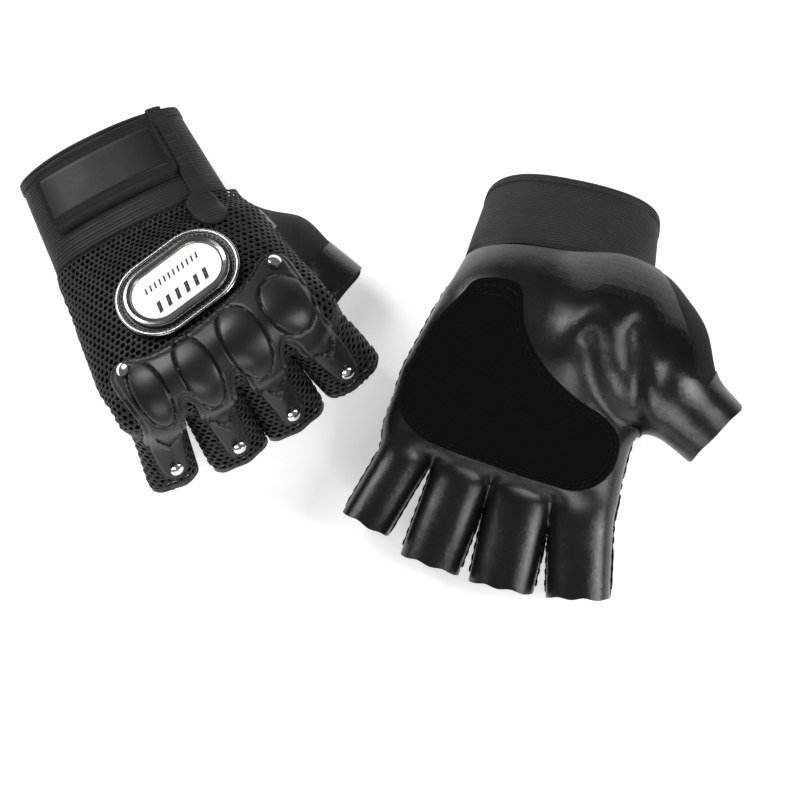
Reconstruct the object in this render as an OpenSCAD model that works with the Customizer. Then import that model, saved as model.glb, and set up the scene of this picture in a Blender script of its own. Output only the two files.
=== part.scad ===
// A pair of fingerless riding gloves: the right one lies palm down with its fingers curled,
// the left one lies palm up with its fingers open. Both are the same glove, mirrored and posed.
// Glove frame: +Y from the wrist seam to the fingers, +Z out of the back of the hand, -X to the thumb.

/* [Hand] */
// Half width of the hand across the knuckles
knuckle_half_w = 46.5; // [45:0.5:48]
// Half width of the wrist at the cuff seam
wrist_half_w = 36.5; // [35:0.5:38]
// Height of the back of the hand over the middle at the knuckles
knuckle_top = 16.5; // [16:0.5:18]
// Depth of the palm under the middle at the knuckles
knuckle_palm = 17; // [16.5:0.5:18]
// Thickness of the leather and of the mesh
skin_t = 1.2; // [1:0.1:1.5]

/* [Cuff] */
// Width of the elastic cuff along the arm
cuff_len = 42; // [40:1:44]
// Half height of the cuff's oval at its open end
cuff_half_h = 17; // [16:0.5:19]
// Width of the closure strap along the arm
strap_w = 27; // [24:1:30]

/* [Fingers] */
// Inside radius of the index, middle and ring stalls
stall_r = 9.6; // [9.2:0.1:9.8]
// Inside radius of the little finger's stall
little_r = 8.6; // [8.2:0.1:9]
// Bend of the right glove's knuckles
right_bend = 72; // [66:1:72]
// Bend of the left glove's knuckles
left_bend = 6; // [2:1:10]

/* [Thumb] */
// Inside radius of the thumb stall
thumb_r = 12; // [11.5:0.1:12.2]
// Length of the thumb stall's tube
thumb_len = 21; // [19:1:22]

/* [Knuckle guard] */
// Thickness of the moulded guard
guard_t = 2.4; // [2:0.1:3]
// Height of each knuckle dome over the guard
dome_h = 2.2; // [1.5:0.1:3]
// Radius of each rivet's cap
rivet_r = 2.6; // [2.2:0.1:3]

/* [Badge] */
// Length of the badge's bezel
badge_len = 53; // [48:1:56]
// Width of the badge's bezel
badge_w = 34; // [31:1:35]

/* [Hidden] */
SIDES = ["right", "left"];
FINGERS = ["index", "middle", "ring", "little"];
HAND_PARTS = ["back_panel", "palm_panel", "palm_patch", "thumb_base", "cuff_band", "cuff_binding",
    "pull_tab", "knuckle_plate", "knuckle_foam", "badge_bezel", "badge_ring", "badge_plate",
    "plate_rivets", "closure_strap", "strap_patch", "hook_patch", "thumb_stall"];
FINGER_PARTS = ["stall", "prong", "rivet"];
$fn = 48;

squareness = 2.4;          // exponent of the hand's oval section
knuckle_y = 68;            // the knuckle fold, from the wrist seam
knuckle_z = 7;             // height of the fold's axis
bend_half = 14;            // half length of the knuckles' soft zone
wrist_zone = 18;           // length of the wrist's soft zone, from the seam
back_end = 76;             // where the back panel stops, short of the finger roots
palm_end = [58, 72];       // where the palm stops: the curled glove folds sooner
guard_lift = 1.7;          // air and foam under the guard
clear = 0.4;               // air between a stall and its prong
patch_lift = 0.45;         // air between the palm and its patch
rivet_lift = 0.95;         // air under the corner rivets, over the guard's middle line

// Each finger: its place on the knuckle fold, fan angle in each glove, and its stall's start and length
FINGER_X = [-33, -11, 11, 32];
FANS = [[12, 4, 0, -8], [16, 6, -2, -12]];
STALL_START = [25, 27, 27, 24];
STALL_LEN = [24, 26, 26, 23];
// The thumb's root, knuckle and end, for each glove
THUMBS = [[[-24, 14, -10], [-43.5, 28.5, -19.5], [-54, 52, -29]],
          [[-24, 12, -6], [-52, 24, -6], [-77, 36, -4]]];

// Where each glove lies: place of its wrist, turn in plan, slope of the hand, and the bend of its
// knuckles and of its cuff, back and sideways
WRISTS = [[-91.4, 45.2, 24.3], [70.8, 23.8, 41.3]];
TURNS = [-148.8, 161.3];
SLOPES = [19, 15];
BENDS = [right_bend, left_bend];
CUFF_BENDS = [13.5, 51];
CUFF_TURNS = [-4.7, 7.9];

function side(s) = s == "left" ? 1 : 0;
function spow(v, p) = sign(v) * pow(abs(v), p);
function half_w(y) = lookup(y, [[-cuff_len, wrist_half_w - 3], [0, wrist_half_w],
    [22, wrist_half_w + 4.5], [50, knuckle_half_w - 0.5], [100, knuckle_half_w]]);
function top_h(y) = lookup(y, [[-cuff_len, cuff_half_h], [0, cuff_half_h + 1], [35, 18.5],
    [64, knuckle_top], [100, knuckle_top - 1]]);
function palm_h(y) = lookup(y, [[-cuff_len, cuff_half_h], [0, cuff_half_h + 1], [25, 21],
    [64, knuckle_palm], [100, knuckle_palm - 1]]);
// Height of the lifted back, and depth of the lifted palm, over a point in plan
function arch(x, w) = pow(1 - pow(min(abs(x) / w, 0.999), squareness), 1 / squareness);
function top_z(x, y, lift = 0) = (top_h(y) + lift) * arch(x, half_w(y) + lift);
function palm_z(x, y, lift = 0) = -(palm_h(y) + lift) * arch(x, half_w(y) + lift);
// A point on the hand's skin at angle a round the arm, lifted outwards
function skin(y, a, lift) =
    let (w = half_w(y) + lift, h = (sin(a) >= 0 ? top_h(y) : palm_h(y)) + lift)
    [w * spow(cos(a), 2 / squareness), y, h * spow(sin(a), 2 / squareness)];
function smooth(t) = let (u = min(max(t, 0), 1)) u * u * (3 - 2 * u);
function turned_x(p, a) = [p[0], p[1] * cos(a) - p[2] * sin(a), p[1] * sin(a) + p[2] * cos(a)];
function turned_z(p, a) = [p[0] * cos(a) - p[1] * sin(a), p[0] * sin(a) + p[1] * cos(a), p[2]];
// A point of the flat glove, moved by the folds of its knuckles and of its wrist
function bent(p, g) =
    let (fold = [0, knuckle_y, knuckle_z],
        knuckle = -BENDS[g] * smooth((p[1] - knuckle_y + bend_half) / (2 * bend_half)),
        wrist = smooth(1 - p[1] / wrist_zone),
        q = turned_x(p - fold, knuckle) + fold)
    turned_z(turned_x(q, -CUFF_BENDS[g] * wrist), CUFF_TURNS[g] * wrist);
function steps(a, b, n) = [for (i = [0:n]) a + (b - a) * i / n];

// A closed solid between two grids of points; rows run along +Y and columns from +X over to -X
module slab(outer, inner, g = -1) {
    rows = len(outer);
    cols = len(outer[0]);
    n = rows * cols;
    raw = concat([for (r = outer) each r], [for (r = inner) each r]);
    points = g < 0 ? raw : [for (p = raw) bent(p, g)];
    skins = [for (i = [0:rows - 2]) for (j = [0:cols - 2])
        let (a = i * cols + j, b = a + 1, c = a + cols + 1, d = a + cols)
        each [[a, b, c], [a, c, d], [n + a, n + c, n + b], [n + a, n + d, n + c]]];
    ends = [for (j = [0:cols - 2])
        let (a = j, b = j + 1, c = (rows - 1) * cols + j, d = c + 1)
        each [[a, n + a, n + b], [a, n + b, b], [c, d, n + d], [c, n + d, n + c]]];
    edges = [for (i = [0:rows - 2])
        let (a = i * cols, d = a + cols, b = a + cols - 1, c = b + cols)
        each [[a, d, n + d], [a, n + d, n + a], [b, n + b, n + c], [b, n + c, c]]];
    polyhedron(points, concat(skins, ends, edges), convexity = 6);
}

// A piece of the hand's skin between two angles that may vary along the arm
module skin_piece(ys, first, last, lift, t, n, g = -1) {
    outer = [for (y = ys) [for (a = steps(first(y), last(y), n)) skin(y, a, lift + t)]];
    inner = [for (y = ys) [for (a = steps(first(y), last(y), n)) skin(y, a, lift)]];
    slab(outer, inner, g);
}

// A pad that follows the back (up) or the palm between two edges that vary along the arm
module pad(ys, left, right, lift, t, n, up, g = -1) {
    function at(x, y, h) = [x, y, up ? top_z(x, y, h) : palm_z(x, y, h)];
    high = [for (y = ys) [for (x = steps(right(y), left(y), n)) at(x, y, lift + t)]];
    low = [for (y = ys) [for (x = steps(right(y), left(y), n)) at(x, y, lift)]];
    if (up) slab(high, low, g);
    else slab(low, high, g);
}

// A closed ring of skin all round the arm
module skin_ring(ys, lift, t, n, g) {
    rows = len(ys);
    outer = [for (y = ys) for (i = [0:n - 1]) skin(y, 360 * i / n, lift + t)];
    inner = [for (y = ys) for (i = [0:n - 1]) skin(y, 360 * i / n, lift)];
    m = rows * n;
    walls = [for (r = [0:rows - 2]) for (i = [0:n - 1])
        let (a = r * n + i, b = r * n + (i + 1) % n, c = b + n, d = a + n)
        each [[a, b, c], [a, c, d], [m + a, m + c, m + b], [m + a, m + d, m + c]]];
    rims = [for (i = [0:n - 1])
        let (a = i, b = (i + 1) % n, c = (rows - 1) * n + i, d = (rows - 1) * n + (i + 1) % n)
        each [[a, m + a, m + b], [a, m + b, b], [c, d, m + d], [c, m + d, m + c]]];
    polyhedron([for (p = concat(outer, inner)) bent(p, g)], concat(walls, rims), convexity = 6);
}

// Frames of the pieces
module lay(s) {
    g = side(s);
    translate(WRISTS[g]) rotate([0, 0, TURNS[g]]) mirror([0, 0, g]) rotate([SLOPES[g], 0, 0]) children();
}
module on_finger(g, i) {
    fold = [0, knuckle_y, knuckle_z];
    translate(fold) rotate([-BENDS[g], 0, 0]) translate(-fold)
        translate([FINGER_X[i], knuckle_y, 0]) rotate([0, 0, FANS[g][i]]) children();
}
module along(a, b) {
    d = b - a;
    translate(a) rotate([0, acos(d[2] / norm(d)), atan2(d[1], d[0])]) children();
}

// Sewn panels of the hand
thumb_window_end = [60, 50];
function thumb_window(y, g) =
    lookup(y, [[4, 0], [11, 1], [thumb_window_end[g] - 8, 1], [thumb_window_end[g], 0]]);
module back_panel(g) {
    color([0.05, 0.05, 0.05])
        skin_piece(steps(1, back_end, 15), function(y) 4, function(y) 176 - 26 * thumb_window(y, g),
            0, skin_t, 16, g);
}
module palm_panel(g) {
    color([0.03, 0.03, 0.03])
        skin_piece(steps(4, palm_end[g], 12), function(y) 184 + 40 * thumb_window(y, g), function(y) 356,
            0, skin_t, 16, g);
}
// The suede wear patch, between an edge that sweeps across the palm and one by the little finger
module palm_patch(g) {
    low = palm_end[g] - 1;
    function thumb_edge(y) = lookup(y, [[14, 13], [26, 7], [38, -8], [46, -27], [54, -38], [62, -41]]);
    function little_edge(y) = lookup(y, [[14, 25], [22, 34], [44, 41], [62, 42]]);
    color([0.01, 0.01, 0.01])
        pad(steps(14, low, 11), function(y) thumb_edge(y), function(y) little_edge(y), skin_t + patch_lift, 1, 12,
            false, g);
}

// The thumb: a cone that leaves the hand, then the stall past the thumb's knuckle
thumb_from = 9;            // where the cone starts, from the thumb's root
thumb_gap = 2;             // how far the cone stops short of the knuckle
root_extra = 5.5;          // the cone's radius over the thumb's, at its root
knuckle_extra = 3;         // and at the knuckle
module thumb_base(g) {
    h = norm(THUMBS[g][1] - THUMBS[g][0]) - thumb_from - thumb_gap;
    module cone(less) cylinder(r1 = thumb_r + root_extra - less, r2 = thumb_r + knuckle_extra - less, h = h);
    color([0.04, 0.04, 0.04])
        along(THUMBS[g][0], THUMBS[g][1])
            translate([0, 0, thumb_from])
                difference() {
                    cone(0);
                    translate([0, 0, -0.01]) scale([1, 1, 1 + 0.02 / h]) cone(skin_t);
                }
}
module thumb_stall(g) {
    reach = norm(THUMBS[g][2] - THUMBS[g][1]);
    color([0.03, 0.03, 0.03])
        along(THUMBS[g][1], THUMBS[g][2])
            difference() {
                translate([0, 0, reach - thumb_len]) cylinder(r = thumb_r + skin_t, h = thumb_len);
                translate([0, 0, reach - thumb_len - 1]) cylinder(r = thumb_r, h = thumb_len + 2);
            }
}

// The elastic cuff, its binding, the pull tab and the closure strap
strap_lift = 1.8;          // the hook patch's underside over the skin line
strap_root = 124;          // angle of the strap's sewn end, at the binding
strap_tip = 42;            // angle of the strap's free end
strap_from = -cuff_len + 2.5;
strap_to = strap_from + strap_w;
module cuff_band(g) {
    color([0.04, 0.04, 0.04]) skin_ring(steps(-cuff_len, 0, 5), 0, 1.4, 44, g);
}
module cuff_binding(g) {
    color([0.05, 0.05, 0.05])
        skin_piece(steps(-cuff_len - 0.5, -0.5, 5), function(y) strap_root + 1, function(y) strap_root + 13,
            1.7, 2.2, 5, g);
}
module closure_strap(g) {
    color([0.03, 0.03, 0.03])
        skin_piece(steps(strap_from, strap_to, 4), function(y) strap_tip, function(y) strap_root - 0.5,
            strap_lift + 0.9, 1.6, 14, g);
}
module hook_patch(g) {
    color([0.06, 0.06, 0.06])
        skin_piece(steps(strap_from + 4, strap_to - 4, 3), function(y) strap_tip + 3, function(y) strap_tip + 34,
            strap_lift, 0.8, 7, g);
}
module strap_patch(g) {
    color([0.02, 0.02, 0.02])
        skin_piece(steps(strap_from + 5, strap_to - 5, 3), function(y) strap_tip + 6, function(y) strap_root - 6,
            strap_lift + 2.6, 0.8, 12, g);
}
module pull_tab(g) {
    tab_x = -26;
    tab_half = 6.5;
    tab_end = 21;
    function half(y) = y < tab_end - tab_half ? tab_half
        : sqrt(max(pow(tab_half, 2) - pow(y - tab_end + tab_half, 2), 1));
    color([0.04, 0.04, 0.04])
        pad(steps(1.5, tab_end, 8), function(y) tab_x - half(y), function(y) tab_x + half(y),
            skin_t + 0.8, 1.4, 4, true, g);
}

// The moulded guard over the knuckles, the foam under it, and its prongs down the fingers
DOMES = [[-31.5, 64, 10, 8.5], [-9.5, 67.5, 9, 10], [12, 68, 8, 10], [31.5, 66.5, 6.5, 10]];
function guard_top_edge(x) =
    lookup(x, [[-42, 48], [-36, 45.5], [-28, 50], [-20, 55], [-8, 60], [8, 61], [24, 58], [35, 52], [42, 54]]);
function guard_low_edge(x) =
    lookup(x, [[-42, 72], [-33, 78], [-22, 74.5], [-11, 79], [0, 76.5], [12, 79], [23, 75.5], [33, 77], [42, 71]]);
function in_dome(x, y, d) = pow((x - d[0]) / d[2], 2) + pow((y - d[1]) / d[3], 2);
function dome(x, y) = max([for (d = DOMES) dome_h * sqrt(max(0, 1 - in_dome(x, y, d)))]);
module knuckle_plate(g) {
    xs = steps(41.5, -41.5, 26);
    function row(v, raised) = [for (x = xs)
        let (y = guard_top_edge(x) * (1 - v) + guard_low_edge(x) * v)
        [x, y, top_z(x, y, skin_t + guard_lift + (raised ? guard_t : 0)) + (raised ? dome(x, y) : 0)]];
    color([0.02, 0.02, 0.02])
        slab([for (v = steps(0, 1, 12)) row(v, true)], [for (v = steps(0, 1, 12)) row(v, false)], g);
}
module knuckle_foam(g) {
    color([0.1, 0.1, 0.1])
        pad(steps(62, 72, 5), function(y) -34, function(y) 33, skin_t + 0.2, 1.3, 12, true, g);
}
prong_start = 20.5;        // from the fold, so that the prong clears the guard's edge as it lifts
prong_short = 7;           // how much sooner the prong ends than the stall
rivet_back = 14;           // from the stall's end to the rivet
function stall_bore(i) = i == 3 ? little_r : stall_r;
function stall_end(i) = STALL_START[i] + STALL_LEN[i];
module prong(g, i) {
    r = stall_bore(i) + skin_t + clear;
    half_angle = 40;
    tip = stall_end(i) - prong_short;
    function reach(y) = half_angle * sqrt(max(0.06, 1 - pow(max(0, (y - tip + 7) / 7), 2)));
    function shell(r) = [for (y = steps(prong_start, tip, 8))
        [for (a = steps(90 - reach(y), 90 + reach(y), 8)) [r * cos(a), y, r * sin(a)]]];
    color([0.02, 0.02, 0.02]) slab(shell(r + guard_t), shell(r));
}

// A rivet's domed cap, standing on +Z
module rivet_cap() {
    rotate_extrude()
        intersection() {
            translate([0, -rivet_r * 1.1]) circle(r = rivet_r * 1.9);
            square([rivet_r, rivet_r * 2]);
        }
}
module prong_rivet(g, i) {
    color([0.8, 0.8, 0.8])
        translate([0, stall_end(i) - rivet_back, stall_bore(i) + skin_t + clear + guard_t + 0.1]) rivet_cap();
}
module plate_rivets(g) {
    color([0.8, 0.8, 0.8])
        for (p = [[-36, 50, -26], [35.5, 57, 24]])
            small_piece([p[0], p[1], top_z(p[0], p[1], skin_t + guard_lift + guard_t) + rivet_lift], g)
                rotate([0, p[2], 0]) rivet_cap();
}
// Moves a small rigid piece to where the folds take its place
module small_piece(p, g) {
    knuckle = -BENDS[g] * smooth((p[1] - knuckle_y + bend_half) / (2 * bend_half));
    translate(bent(p, g)) rotate([knuckle, 0, 0]) children();
}

// The badge: a sewn bezel, a raised ring and a blank plate
badge_y = 37;
badge_turn = 7;
bezel_h = 2.2;
module oval(len, w) {
    square([len - w, w], center = true);
    for (e = [-1, 1]) translate([e * (len - w) / 2, 0]) circle(d = w);
}
module on_badge() {
    translate([0, badge_y, top_z(0, badge_y, skin_t) + 0.2]) rotate([-1.5, 0, badge_turn]) children();
}
module badge_bezel(g) {
    color([0.15, 0.14, 0.13])
        on_badge() linear_extrude(bezel_h) difference() {
            oval(badge_len, badge_w);
            oval(badge_len - 13.5, badge_w - 13.5);
        }
}
module badge_ring(g) {
    color([0.6, 0.58, 0.56])
        on_badge() translate([0, 0, bezel_h]) linear_extrude(1.8) difference() {
            oval(badge_len - 6, badge_w - 6);
            oval(badge_len - 12, badge_w - 12);
        }
}
module badge_plate(g) {
    color([0.9, 0.9, 0.9])
        on_badge() linear_extrude(3) oval(badge_len - 14, badge_w - 14);
}

// One finger's stall: a tube whose bore takes the finger
module stall(g, i) {
    color([0.03, 0.03, 0.03])
        translate([0, STALL_START[i], 0]) rotate([-90, 0, 0]) difference() {
            cylinder(r = stall_bore(i) + skin_t, h = STALL_LEN[i]);
            translate([0, 0, -1]) cylinder(r = stall_bore(i), h = STALL_LEN[i] + 2);
        }
}

for (s = SIDES) {
    g = side(s);
    lay(s) back_panel(g);
    lay(s) palm_panel(g);
    lay(s) palm_patch(g);
    lay(s) thumb_base(g);
    lay(s) cuff_band(g);
    lay(s) cuff_binding(g);
    lay(s) pull_tab(g);
    lay(s) knuckle_plate(g);
    lay(s) knuckle_foam(g);
    lay(s) badge_bezel(g);
    lay(s) badge_ring(g);
    lay(s) badge_plate(g);
    lay(s) plate_rivets(g);
    lay(s) closure_strap(g);
    lay(s) strap_patch(g);
    lay(s) hook_patch(g);
    lay(s) thumb_stall(g);
    for (i = [0:3]) {
        f = str(s, "_", FINGERS[i]);
        lay(s) on_finger(g, i) stall(g, i);
        lay(s) on_finger(g, i) prong(g, i);
        lay(s) on_finger(g, i) prong_rivet(g, i);
    }
}
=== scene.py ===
import math

import bpy
import numpy as np
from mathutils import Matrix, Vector

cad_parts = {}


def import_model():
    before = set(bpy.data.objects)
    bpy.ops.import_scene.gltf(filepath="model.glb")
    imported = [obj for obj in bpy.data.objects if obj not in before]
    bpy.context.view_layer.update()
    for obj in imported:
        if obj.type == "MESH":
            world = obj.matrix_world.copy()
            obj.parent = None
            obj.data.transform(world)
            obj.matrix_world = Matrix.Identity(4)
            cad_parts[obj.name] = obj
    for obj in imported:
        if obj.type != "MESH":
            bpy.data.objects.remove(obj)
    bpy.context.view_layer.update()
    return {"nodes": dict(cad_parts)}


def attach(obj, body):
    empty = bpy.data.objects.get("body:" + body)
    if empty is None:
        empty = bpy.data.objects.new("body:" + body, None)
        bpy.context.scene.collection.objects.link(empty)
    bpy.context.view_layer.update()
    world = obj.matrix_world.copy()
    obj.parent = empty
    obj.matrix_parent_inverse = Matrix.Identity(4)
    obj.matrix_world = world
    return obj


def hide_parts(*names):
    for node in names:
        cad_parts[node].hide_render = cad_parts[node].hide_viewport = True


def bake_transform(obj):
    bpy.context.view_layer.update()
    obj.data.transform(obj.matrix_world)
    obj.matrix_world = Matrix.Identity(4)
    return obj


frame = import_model()

# ------------------------------------------------------------------ the flat glove, in mm
# +Y to the fingers, the thumb on -X, the back of the hand on +Z, the origin at the wrist seam.
SIDES = ("right", "left")
FINGERS = ("index", "middle", "ring", "little")
# Pairs are right, left; fours are index to little.
SKIN = 1.2                        # the skin's thickness over the hand's shape
KNUCKLE = np.array([0.0, 68.0, 7.0])
BENDS = (72, 6)                   # degrees at the knuckles
CUFF_BENDS = (13.5, 51)
CUFF_TURNS = (-4.7, 7.9)
WRISTS = ((-91.4, 45.2, 24.3), (70.8, 23.8, 41.3))
TURNS = (-148.8, 161.3)
SLOPES = (19, 15)
FINGER_X = (-33, -11, 11, 32)     # each finger's place on the knuckle line, then its fan in degrees
FANS = ((12, 4, 0, -8), (16, 6, -2, -12))
STALL_END = (49, 53, 53, 47)
STALL_R = (9.6, 9.6, 9.6, 8.6)
THUMBS = (((-24, 14, -10), (-43.5, 28.5, -19.5), (-54, 52, -29)),
          ((-24, 12, -6), (-52, 24, -6), (-77, 36, -4)))
SQUARE = 2.4                      # the power of the hand's squared oval
WIDER = (1.17, 1.2, 1.12, 1.02)   # how far each stall is spread sideways by its seams


def ease(t):
    u = np.clip(t, 0, 1)
    return u * u * (3 - 2 * u)


def table(y, *pairs):
    return np.interp(y, [p[0] for p in pairs], [p[1] for p in pairs])


def half_w(y):
    return table(y, (-42, 33.5), (0, 36.5), (22, 41), (50, 46), (100, 46.5))


def top_h(y):
    return table(y, (-42, 17), (0, 18), (35, 18.5), (64, 16.5), (100, 15.5))


def palm_h(y):
    return table(y, (-42, 17), (0, 18), (25, 21), (64, 17), (100, 16))


def arch(x, w):
    return (1 - np.minimum(np.abs(x) / w, 0.999) ** SQUARE) ** (1 / SQUARE)


def top_z(x, y, lift=0.0):
    return (top_h(y) + lift) * arch(x, half_w(y) + lift)


def arm(y, angle, lift):
    """Points on the hand's oval, at y along the arm and an angle in degrees round it."""
    c, s = np.cos(np.radians(angle)), np.sin(np.radians(angle))
    h = np.where(s >= 0, top_h(y), palm_h(y)) + lift
    power = 2 / SQUARE
    return np.stack([(half_w(y) + lift) * np.sign(c) * np.abs(c) ** power, y + 0 * c,
                     h * np.sign(s) * np.abs(s) ** power], -1)


def turn(p, axis, degrees):
    c, s = np.cos(np.radians(degrees)), np.sin(np.radians(degrees))
    i, j = {"x": (1, 2), "z": (0, 1)}[axis]
    q = np.array(p, float)
    q[..., i] = p[..., i] * c - p[..., j] * s
    q[..., j] = p[..., i] * s + p[..., j] * c
    return q


def bent(p, g):
    p = np.asarray(p, float)
    q = turn(p - KNUCKLE, "x", -BENDS[g] * ease((p[..., 1] - 54) / 28)) + KNUCKLE
    wrist = ease(1 - p[..., 1] / 18)
    return turn(turn(q, "x", -CUFF_BENDS[g] * wrist), "z", CUFF_TURNS[g] * wrist)


def place(p, g):
    """From the flat glove to the row frame, in metres."""
    q = turn(bent(p, g), "x", SLOPES[g])
    if g:
        q[..., 2] *= -1
    return (turn(q, "z", TURNS[g]) + np.array(WRISTS[g])) / 1000


def on_finger(q, g, i):
    """From a finger's frame, whose y runs out from the knuckle line, to the flat glove."""
    return turn(np.asarray(q, float), "z", FANS[g][i]) + np.array([FINGER_X[i], 68.0, 0.0])


def off_finger(p, g, i):
    return turn(p - np.array([FINGER_X[i], 68.0, 0.0]), "z", -FANS[g][i])


# ------------------------------------------------------------------ the sewn skin as a field
def smin(a, b, k):
    h = np.maximum(k - np.abs(a - b), 0) / k
    return np.minimum(a, b) - h * h * k / 4


def ripple(p, seed, size):
    """Smooth repeatable unevenness between about -1 and 1; size is its wavelength."""
    rng = np.random.RandomState(seed)
    total = 0.0
    for _ in range(7):
        d = rng.normal(size=3)
        d *= 2 * math.pi / (size * rng.uniform(0.7, 1.5) * np.linalg.norm(d))
        total = total + np.sin(p @ d + rng.uniform(0, 6.28))
    return total / 3.2


def hand_part(p):
    x, y, z = p[:, 0], p[:, 1], p[:, 2]
    w = half_w(y) + SKIN
    h = np.where(z > 0, top_h(y), palm_h(y)) + SKIN
    r = ((np.abs(x) / w) ** SQUARE + (np.abs(z) / h) ** SQUARE) ** (1 / SQUARE)
    d = np.hypot(x, z) * (1 - 1 / np.maximum(r, 1e-3))
    return -smin(-d, 79 - y, 10)


def thumb_part(p, g):
    best = None
    pts = np.array(THUMBS[g], float)
    past = pts[2] + (pts[2] - pts[1]) * 0.3
    for a, b, ra, rb in ((pts[0], pts[1], 19.0, 15.2), (pts[1], past, 14.4, 12.6)):
        d = b - a
        t = np.clip(((p - a) @ d) / (d @ d), 0, 1)
        v = p - a - t[:, None] * d
        side = np.cross(d, (0, 0, 1.0))
        side /= np.linalg.norm(side)
        across = v @ side
        f = np.sqrt(np.maximum((v * v).sum(1) - across ** 2 * (1 - 1 / 1.18 ** 2), 0)) - (ra + (rb - ra) * t)
        best = f if best is None else smin(best, f, 5)
    return best


def finger_part(p, g, i):
    q = off_finger(p, g, i)
    y = q[:, 1]
    r = STALL_R[i] + SKIN + 0.3 * ease((30 - y) / 20)
    round_it = (np.abs(q[:, 0] / WIDER[i]) ** 2.5 + np.abs(q[:, 2]) ** 2.5) ** 0.4
    return np.hypot(round_it, np.minimum(y + 8, 0)) - r


def crease(p, line, depth, width):
    """A fold pressed into the skin along a line in plan, on the palm side, with swollen sides."""
    best = np.full(len(p), 1e3)
    for a, b in zip(line[:-1], line[1:]):
        a, b = np.array(a, float), np.array(b, float)
        d = b - a
        t = np.clip(((p[:, :2] - a) @ d) / (d @ d), 0, 1)
        best = np.minimum(best, np.linalg.norm(p[:, :2] - a - t[:, None] * d, axis=1))
    shape = -np.exp(-(best / width) ** 2) + 0.3 * np.exp(-((best - 2.3 * width) / (1.3 * width)) ** 2)
    return depth * shape * ease((-p[:, 2] - 1) / 6)


# each glove's folds: a line in plan, its depth and its width
CREASES = (
    (),
    ((((-19, 19), (-22, 25), (-28.5, 35), (-38, 43)), 1.5, 3.6),
     (((-35, 15), (-39, 21), (-43, 29), (-47, 40)), 1.4, 3.4),
     (((-52, 18), (-53, 25), (-53, 33)), 0.7, 2.8)),
)


def skin_field(p, g):
    f = smin(hand_part(p), thumb_part(p, g), 11)
    fingers = finger_part(p, g, 0)
    for i in (1, 2, 3):
        fingers = np.minimum(fingers, finger_part(p, g, i))
    f = smin(f, fingers, 7)
    palm = ease(-p[:, 2] / 8)
    f = f - 0.3 * ripple(p * [1, 0.6, 1], 3 + g, 24) * palm
    for line, depth, width in CREASES[g]:
        f = f - crease(p, line, depth, width)
    return f


def slope(field, p, e=0.15):
    g = np.stack([field(p + d) - field(p - d) for d in np.eye(3) * e], -1) / (2 * e)
    return g


def snap(p, g, lift, turns=4):
    """Points moved onto the skin, lifted off it."""
    field = lambda q: skin_field(q, g)
    q = np.array(p, float)
    for _ in range(turns):
        n = slope(field, q)
        q -= n * ((field(q) - lift) / np.maximum((n * n).sum(1), 0.2))[:, None]
    return q


def surface(field, lo, hi, step):
    """Surface nets: the field's zero level as vertices and outward quads."""
    axes = [np.arange(lo[k], hi[k] + step, step) for k in range(3)]
    shape = [len(a) for a in axes]
    grid = np.stack(np.meshgrid(*axes, indexing="ij"), -1).reshape(-1, 3)
    f = field(grid).reshape(shape)
    cell_shape = [n - 1 for n in shape]
    total = np.zeros((int(np.prod(cell_shape)), 3))
    count = np.zeros(len(total))
    quads = []
    for k in range(3):
        low = f.take(range(shape[k] - 1), k)
        high = f.take(range(1, shape[k]), k)
        idx = np.argwhere((low < 0) != (high < 0))
        a, b = low[tuple(idx.T)], high[tuple(idx.T)]
        at = idx.astype(float)
        at[:, k] += a / (a - b)
        u, v = (k + 1) % 3, (k + 2) % 3
        ring, good = [], np.ones(len(idx), bool)
        for du, dv in ((0, 0), (-1, 0), (-1, -1), (0, -1)):
            c = idx.copy()
            c[:, u] += du
            c[:, v] += dv
            ok = np.all((c >= 0) & (c < cell_shape), 1)
            c = np.clip(c, 0, np.array(cell_shape) - 1)
            flat = np.ravel_multi_index(c.T, cell_shape)
            np.add.at(total, flat[ok], at[ok])
            np.add.at(count, flat[ok], 1)
            ring.append(flat)
            good &= ok
        ring = np.stack(ring, 1)[good]
        flip = (a >= 0)[good]
        ring[flip] = ring[flip][:, ::-1]
        quads.append(ring)
    quads = np.concatenate(quads)
    used = np.flatnonzero(count)
    index = np.full(len(total), -1)
    index[used] = np.arange(len(used))
    points = total[used] / count[used][:, None] * step + np.array(lo)
    return points, index[quads]


def relaxed(values, quads, turns, share=0.5):
    """Each value drawn towards the mean of its neighbours along the quads' edges."""
    a = np.concatenate([quads[:, k] for k in range(4)] + [quads[:, (k + 1) % 4] for k in range(4)])
    b = np.concatenate([quads[:, (k + 1) % 4] for k in range(4)] + [quads[:, k] for k in range(4)])
    count = np.bincount(a, minlength=len(values))[:, None]
    for _ in range(turns):
        mean = np.stack([np.bincount(a, values[b, k], len(values)) for k in range(3)], 1)
        values = values * (1 - share) + mean / np.maximum(count, 1) * share
    return values


def halves(quads):
    return np.concatenate([quads[:, [0, 1, 2]], quads[:, [0, 2, 3]]])


def compact(points, faces):
    used, inverse = np.unique(faces, return_inverse=True)
    return points[used], inverse.reshape(faces.shape)


def normals(points, tris):
    n = np.zeros_like(points)
    a, b, c = (points[tris[:, k]] for k in range(3))
    face = np.cross(b - a, c - a)
    for k in range(3):
        np.add.at(n, tris[:, k], face)
    return n / np.maximum(np.linalg.norm(n, axis=1), 1e-9)[:, None]


def rim(tris):
    """The open edges of a sheet of triangles, in the direction that their triangle runs."""
    e = np.concatenate([tris[:, [0, 1]], tris[:, [1, 2]], tris[:, [2, 0]]])
    key = np.sort(e, 1)
    _, first, n = np.unique(key, axis=0, return_index=True, return_counts=True)
    return e[first[n == 1]]


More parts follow.
